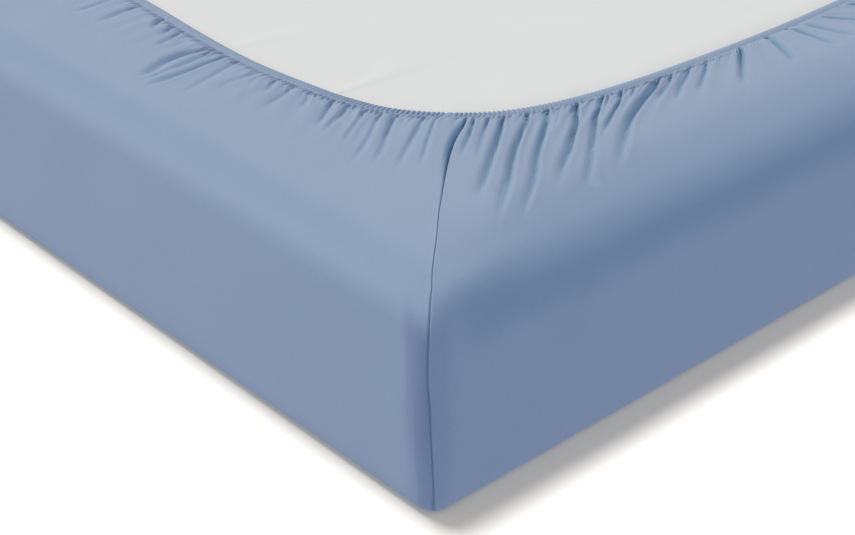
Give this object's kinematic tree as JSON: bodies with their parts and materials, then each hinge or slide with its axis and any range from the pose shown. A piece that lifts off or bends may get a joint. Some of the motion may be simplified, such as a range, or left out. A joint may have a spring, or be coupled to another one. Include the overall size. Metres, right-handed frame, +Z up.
{
  "type": "fitted sheet on a mattress",
  "caption": "Plain blue fitted sheet pulled over an upturned mattress, its elasticated mouth gathered in folds over the top and the white mattress showing inside it.",
  "frame": {"origin": "middle of the base panel's under face, on the surface that the part rests on", "axes": "+Z up through the gathered mouth, +Y along the mattress's length, +X across its width"},
  "size_m": [1.4, 2, 0.2239],
  "materials": {
    "cotton_blue": "plain smooth cotton jersey, matt, light blue",
    "cover_white": "white woven mattress cover with a faint self-coloured swirl relief"
  },
  "bodies": {
    "root": {"sheet": "cotton_blue", "mattress": "cover_white"}
  },
  "joints": []
}
